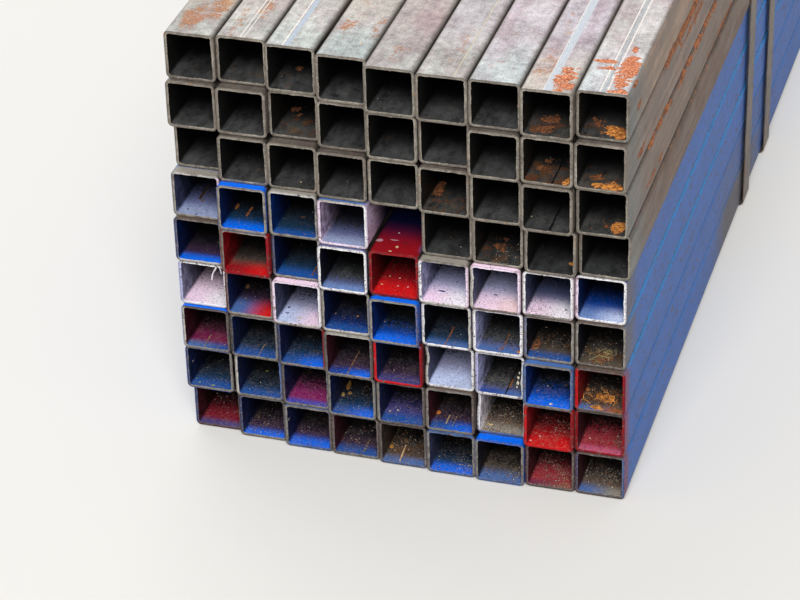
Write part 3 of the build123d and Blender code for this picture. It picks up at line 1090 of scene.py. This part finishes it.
def make_seams(material):
    """Weld seams on the outside of the top layer, and the weld beads inside the tubes that show them."""
    bits = Bits("weld_seams")
    rng = random.Random(5)
    for column, px, py, width, tint in SEAMS:
        low, high = BOXES[1, column]
        x = seen_on(px, py, 2, high[2]).x
        line = [Vector((x, low[1] + d * MM, high[2] - 0.02 * MM)) for d in SEAM_DEPTHS]
        bits.ribbon(line, Z_WAY, width, 0.14, [tint], 0.05, rng)
    for layer, column, share, start, end, width, tints in BEADS:
        low, high = BOXES[layer, column]
        x, z = low[0] + (high[0] - low[0]) * share, floor_level(layer, column)
        line = [Vector((x, low[1] + d * MM, z)) for d in np.arange(start, end, BEAD_STEP)]
        bits.ribbon(line, Z_WAY, width, 0.5, tints, 0.5, rng)
    bits.build(material)


FLECK_TINTS = {
    "black": linear(26, 24, 34), "brown": linear(104, 78, 56), "amber": linear(178, 120, 50),
    "pale": linear(214, 204, 200), "dulled": linear(176, 140, 150), "navy": linear(40, 50, 100),
    "straw": linear(212, 184, 140), "green": linear(150, 160, 60),
}

# Flecks by layer, column and wall: pixel, length and width in mm, tint
FLECKS = {
    (5, 6, "floor"): [
        (442, 291, 3.0, 7, "navy"), (434, 286, 1.5, 1.5, "black"), (450, 299, 1.4, 1.4, "black"),
        (457, 282, 2, 1.6, "black"),
    ],
    (6, 3, "floor"): [
        (289, 307, 3.6, 2.4, "black"), (287, 313, 2.0, 4.0, "navy"), (300, 318, 4, 6, "pale"),
    ],
    (6, 1, "left"): [
        (194, 281, 4, 3, "black"), (191, 288, 3, 2.5, "black"), (198, 275, 3, 2, "black"),
        (188, 293, 3, 2, "black"), (203, 269, 3, 2, "black"),
    ],
    (4, 1, "floor"): [
        (203, 200, 5, 3, "brown"), (196, 214, 2.5, 2, "black"), (188, 209, 2.5, 2, "black"),
        (212, 196, 2, 3, "brown"), (206, 210, 2, 2, "black"), (200, 206, 2, 2, "black"),
    ],
    (5, 7, "floor"): [
        (496, 295, 2.2, 4.0, "black"), (486, 296, 1.5, 1.5, "brown"), (505, 290, 1.5, 1.5, "black"),
    ],
    (5, 8, "floor"): [
        (566, 310, 2, 2.4, "black"), (548, 302, 1.6, 1.6, "black"), (556, 290, 2, 1.6, "brown"),
    ],
    (7, 6, "left"): [(431, 378, 5, 3, "black")],
    (7, 6, "floor"): [
        (453, 352, 4, 1.4, "black"), (461, 357, 2, 1.2, "black"), (452, 381, 1.6, 1.6, "black"),
        (458, 366, 1.6, 1.2, "black"),
    ],
    (8, 7, "left"): [
        (496, 402, 6, 3, "black"), (494, 408, 5, 4, "black"), (492, 414, 6, 2.5, "black"),
        (489, 421, 6, 2.0, "black"),
    ],
    (5, 5, "top"): [
        (380, 240, 5, 8, "dulled"), (395, 240, 1.6, 8, "dulled"), (397, 247, 4, 3, "straw"),
        (390, 251, 2, 4, "straw"), (399, 233, 2, 2, "pale"),
    ],
    (5, 5, "floor"): [
        (382, 284, 2, 2.4, "straw"), (398, 286, 1.6, 1.6, "pale"), (400, 278, 2, 1.5, "pale"),
        (408, 287, 1.5, 1.5, "pale"), (390, 276, 1.5, 1.5, "straw"),
    ],
    (7, 8, "floor"): [
        (551, 404, 4, 3.4, "pale"), (566, 385, 3, 4, "brown"), (548, 386, 1.6, 1.6, "pale"),
    ],
    (8, 1, "floor"): [
        (200, 382, 4, 1.6, "green"), (213, 385, 2, 4, "green"), (196, 378, 2, 1.4, "green"),
    ],
    (8, 1, "left"): [(193, 361, 3, 1.6, "pale")],
    (8, 2, "floor"): [(267, 371, 2.4, 2.4, "green")],
    (8, 5, "floor"): [(390, 411, 3, 1.6, "straw"), (398, 410, 2, 3, "straw")],
    (9, 1, "floor"): [(219, 396, 3, 4, "brown")],
    (9, 3, "left"): [(289, 419, 5, 1.4, "pale")],
    (6, 4, "floor"): [(333, 313, 1.6, 1.6, "straw"), (358, 316, 3, 3, "amber")],
    (6, 5, "floor"): [(381, 321, 1.5, 1.5, "straw")],
    (4, 3, "floor"): [(303, 217, 3, 5, "brown")],
    (5, 2, "floor"): [(268, 270, 5, 2, "amber")],
    (1, 4, "top"): [(361, 43, 5, 1.8, "straw")],
    (8, 7, "floor"): [(490, 424, 4, 6, "straw")],
    (8, 8, "floor"): [(540, 436, 2, 2, "pale"), (529, 440, 2.5, 3, "pale")],
    (8, 9, "floor"): [(590, 438, 1.5, 1.5, "pale")],
    (2, 6, "floor"): [(437, 161, 1.6, 6, "black")],
    (3, 3, "floor"): [(301, 182, 2, 1.6, "straw")],
    (3, 8, "floor"): [(505, 213, 1.5, 1.5, "straw")],
}


def make_flecks(material):
    """Flakes, spatters and dents in the paint, each placed where the photograph shows it."""
    bits = Bits("paint_flecks")
    rng = random.Random(21)
    for (layer, column, wall), flecks in FLECKS.items():
        bits.keep_to(layer, column, 1 if wall == "top" else TUBE_WALL)
        for px, py, length, width, word in flecks:
            bits.blob(spot_on(layer, column, wall, px, py), length, width, 0.15, FLECK_TINTS[word], rng)
    bits.build(material)


# Leaves: layer, column, pixel, length and width in mm, turn in degrees, tint
LEAVES = [
    (8, 4, 345, 384, 20, 6, 12, linear(150, 106, 48)), (8, 4, 341, 394, 8, 4, 20, linear(172, 140, 80)),
    (6, 2, 246, 286, 8, 5, 0, linear(120, 84, 44)), (9, 5, 390, 446, 7, 5, 0, linear(176, 118, 40)),
    (9, 5, 406, 440, 6, 4, 30, linear(110, 84, 50)), (8, 6, 436, 412, 7, 6, 0, linear(190, 110, 40)),
    (7, 9, 585, 389, 7, 5, 0, linear(178, 104, 44)), (4, 2, 236, 206, 12, 4, 5, linear(140, 84, 36)),
    (8, 4, 350, 393, 5, 5, 0, linear(150, 112, 60)), (6, 9, 608, 352, 8, 10, 0, linear(150, 130, 84)),
]

# Twigs: layer, column, pixels with the height over the floor in mm, width in mm, tint
TWIGS = [
    (9, 5, [(400, 461, 0.2), (402.5, 455, 0.8), (406, 447, 1.5)], 1.8, linear(214, 180, 136)),
    (6, 9, [(590, 360, 0.2), (599, 357, 1.5), (610, 359, 0.6)], 1.2, linear(122, 110, 76)),
    (6, 9, [(594, 354, 0.4), (604, 351, 2.0), (613, 354, 0.6)], 1.0, linear(104, 92, 62)),
    (8, 6, [(446, 424, 0.2), (450, 416, 0.8)], 1.2, linear(196, 170, 120)),
]

# Dry grass: layer, column, pixel, spread in pixels, number of blades, tints
GRASS = [
    (7, 9, 606, 398, 8, 50, [linear(150, 92, 34), linear(206, 136, 56), linear(96, 62, 28)]),
    (6, 9, 602, 357, 7, 34, [linear(134, 114, 74), linear(94, 78, 50)]),
]

# Two strands that hang from the rim of tube 1 of layer 6: pixels, width and thickness in mm
STRANDS = [
    ([(217, 265), (215.5, 269), (213, 273), (212.2, 277), (212, 280)], 1.5, 0.8),
    ([(217, 265), (219, 267), (220.5, 270), (221.5, 274)], 1.1, 0.7),
]
STRAND_TINT = linear(236, 228, 236)

# Drops on the right rim of tube 7 of layer 7: pixel and width in mm
DROPS = [(518.5, 378, 2.4), (518, 383, 2.8), (519.5, 373, 1.6), (517, 387, 1.5)]
DROP_TINT = linear(206, 196, 176)


def make_litter(material):
    """Dry leaves, twigs, grass, hanging strands and drops in the mouths."""
    bits = Bits("dry_litter")
    rng = random.Random(8)
    for layer, column, px, py, length, width, turn, tint in LEAVES:
        bits.keep_to(layer, column, TUBE_WALL)
        place, along, across = spot_on(layer, column, "floor", px, py)
        angle = math.radians(turn)
        first = along * math.cos(angle) + across * math.sin(angle)
        second = across * math.cos(angle) - along * math.sin(angle)
        outline = [(math.cos(t) * length / 2, math.sin(t) * abs(math.sin(t)) ** 0.4 * width / 2)
                   for t in np.linspace(0, 2 * math.pi, 12, endpoint=False)]
        bits.flake((place, first, second), outline, 0.6, tint)
    for layer, column, ends, width, tint in TWIGS:
        bits.keep_to(layer, column, TUBE_WALL)
        line = []
        points = [on_floor(layer, column, px, py) + Z_WAY * lift * MM for px, py, lift in ends]
        for first, second in zip(points, points[1:]):
            line += [first.lerp(second, t / 4) for t in range(4)]
        line.append(points[-1])
        bits.ribbon(line, Z_WAY, width, width * 0.8, [tint], 0.3, rng)
    for layer, column, px, py, spread, number, tints in GRASS:
        bits.keep_to(layer, column, TUBE_WALL)
        low, high = BOXES[layer, column]
        for _ in range(number):
            place = on_floor(layer, column, px + rng.gauss(0, spread), py + rng.gauss(0, spread * 0.5))
            angle = rng.random() * math.pi
            way = (X_WAY * math.cos(angle) + Y_WAY * math.sin(angle)) * (3 + 6 * rng.random()) * MM
            tip = place + way + Z_WAY * 3 * rng.random() * MM
            tip.x = within(tip.x, low[0], high[0], 4)
            tip.y = max(tip.y, low[1] + 1 * MM)
            middle = place.lerp(tip, 0.5) + Z_WAY * 1.2 * MM
            bits.ribbon([place, middle, tip], Z_WAY, 0.7, 0.35, [rng.choice(tints)], 0.3, rng)
    bits.keep_to(6, 1, 0)
    for pixels, width, thickness in STRANDS:
        line = [seen_on(px, py, 1, BOXES[6, 1][0][1] + 1 * MM) for px, py in pixels]
        bits.ribbon(line, -Y_WAY, width, thickness, [STRAND_TINT], 0.25, rng)
    bits.keep_to(7, 7, 0)
    for px, py, size in DROPS:
        place = seen_on(px, py, 1, BOXES[7, 7][0][1] + 0.4 * MM)
        bits.blob((place, Z_WAY, X_WAY), size * 1.8, size, 0.5, DROP_TINT, rng)
    bits.build(material)


# Burrs: number on each mouth, reach along a side, the inner edge's distance from the middle and the step from
# there into the wall in mm, and bare colour
BURRS = 16
BURR_REACH = 19
INNER_EDGE, EDGE_STEP = 22.2, 1.6
BURR_STEEL = linear(168, 160, 148)


def make_burrs(material):
    """Torn burrs along the sawn edges of the mouths."""
    bits = Bits("sawn_burrs")
    rng = random.Random(33)
    for (layer, column), (low, high) in BOXES.items():
        words = sprayed(layer, column)[0]
        centre = Vector(((low[0] + high[0]) / 2, low[1] + 0.35 * MM, (low[2] + high[2]) / 2))
        for _ in range(BURRS):
            side = rng.choice([0, 1, 2, 3, 3])
            run = (rng.random() * 2 - 1) * BURR_REACH * MM
            out = (INNER_EDGE + (rng.random() < 0.3) * EDGE_STEP) * MM * (1 if side in (1, 2) else -1)
            along, outward = (Z_WAY, X_WAY) if side in (0, 2) else (X_WAY, Z_WAY)
            spot = (centre + outward * out + along * run, along, along.cross(Y_WAY))
            base = BURR_STEEL if words[side] == "bare" else PAINTS[words[side]]
            tint = shaded(base, 0.45 + 0.55 * rng.random())
            bits.blob(spot, 1.2 + 3.6 * rng.random(), 0.3 + 0.4 * rng.random(), 0.24, tint, rng, 6)
    bits.build(material)


# Reach of the floor in metres, and the light that the world gives and shows
FLOOR_REACH = 40.0
WORLD_LIGHT = 0.4
BACKDROP_LIGHT = 0.9


def make_floor():
    """A plain floor, paler to the camera than to the object that it lights."""
    n = Surface("pale_floor")
    n.finish(n.mix(n.seen(), linear(150, 146, 140), linear(228, 226, 222)), 0.9)
    mesh = bpy.data.meshes.new("floor")
    corners = [(x * FLOOR_REACH, y * FLOOR_REACH, 0) for x, y in ((-1, -1), (1, -1), (1, 1), (-1, 1))]
    mesh.from_pydata(corners, [], [(0, 1, 2, 3)])
    mesh.materials.append(n.material)
    placed("floor", mesh)


def make_world():
    """A white backdrop that gives less light than it shows."""
    world = bpy.data.worlds.new("studio")
    bpy.context.scene.world = world
    world.use_nodes = True
    n = Nodes(world.node_tree)
    strength = n.ramp(n.seen(), 0.0, 1.0, WORLD_LIGHT, BACKDROP_LIGHT)
    back = n.add("ShaderNodeBackground", (1.0, 1.0, 1.0), strength)
    n.add("ShaderNodeOutputWorld", n.output(back))


def make_camera():
    data = bpy.data.cameras.new("camera")
    data.lens = CAMERA_LENS
    data.sensor_width = SENSOR
    data.sensor_fit = "HORIZONTAL"
    data.clip_end = 200.0
    camera = placed("camera", data)
    right, up, forward = turned_axes()
    turn = Matrix((right, up, -forward)).transposed()
    camera.matrix_world = Matrix.Translation(CAMERA_PLACE) @ turn.to_4x4()
    bpy.context.scene.camera = camera


def soft_sun(name, way, spread, strength):
    """A far lamp that shines evenly along the whole stack; its spread in degrees."""
    data = bpy.data.lights.new(name, "SUN")
    data.angle = math.radians(spread)
    data.energy = strength
    placed(name, data).rotation_euler = Vector(way).to_track_quat("-Z", "Y").to_euler()


tubes = tube_material()
for layer in range(1, LAYERS + 1):
    make_layer(layer, tubes)

rough_bits = bits_material("rust_and_sand", 0.85)
make_sand(rough_bits)
make_rust(rough_bits)
make_litter(rough_bits)
metal_bits = bits_material("seams_and_burrs", 0.45)
make_seams(metal_bits)
make_flecks(metal_bits)
make_burrs(metal_bits)

strap_look = strap_material("strap_steel_worn", linear(112, 98, 86), linear(86, 76, 70))
seal_look = strap_material("seal_steel_worn", linear(150, 146, 140), linear(122, 112, 104))
for name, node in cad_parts.items():
    if name.startswith("strap"):
        node.data.materials.clear()
        node.data.materials.append(seal_look if "seal" in name else strap_look)

make_floor()
make_camera()
make_world()
soft_sun("front", (-0.15, 0.7, -0.7), 35, 3.1)
soft_sun("back", (0.5, -0.75, -0.42), 60, 0.9)

bpy.context.scene.view_settings.view_transform = "Standard"
